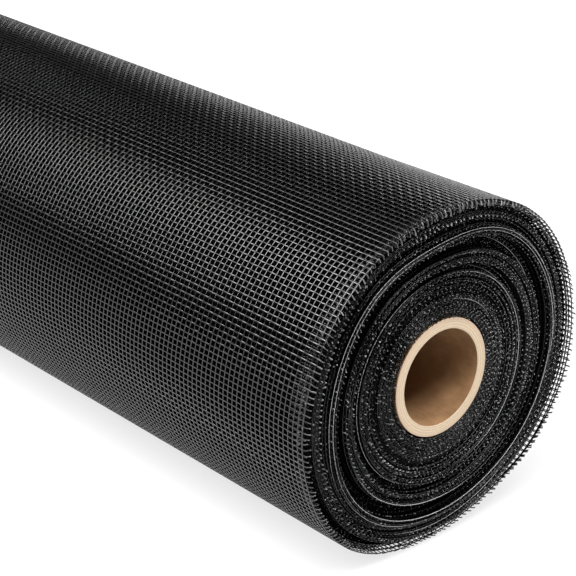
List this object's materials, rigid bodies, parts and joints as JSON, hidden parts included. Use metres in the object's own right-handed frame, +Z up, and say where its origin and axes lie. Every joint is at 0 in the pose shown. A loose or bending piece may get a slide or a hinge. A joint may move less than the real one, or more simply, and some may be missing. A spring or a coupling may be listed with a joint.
{
  "type": "insect screen roll",
  "caption": "Roll of black coated glass-fibre insect screen wound on a plain paper tube, lying on its side, the edges of its turns slightly out of line.",
  "frame": {"origin": "on the surface the roll lies on, under the middle of the roll", "axes": "+X along the roll's axis, +Z up, out of the surface the roll lies on"},
  "size_m": [0.6172, 0.088, 0.0873],
  "materials": {
    "screen": "satin black coated glass-fibre threads",
    "core": "plain brown paper tube with a paler cut edge"
  },
  "bodies": {
    "root": {"screen_roll": "screen", "core_tube": "core"}
  },
  "joints": []
}
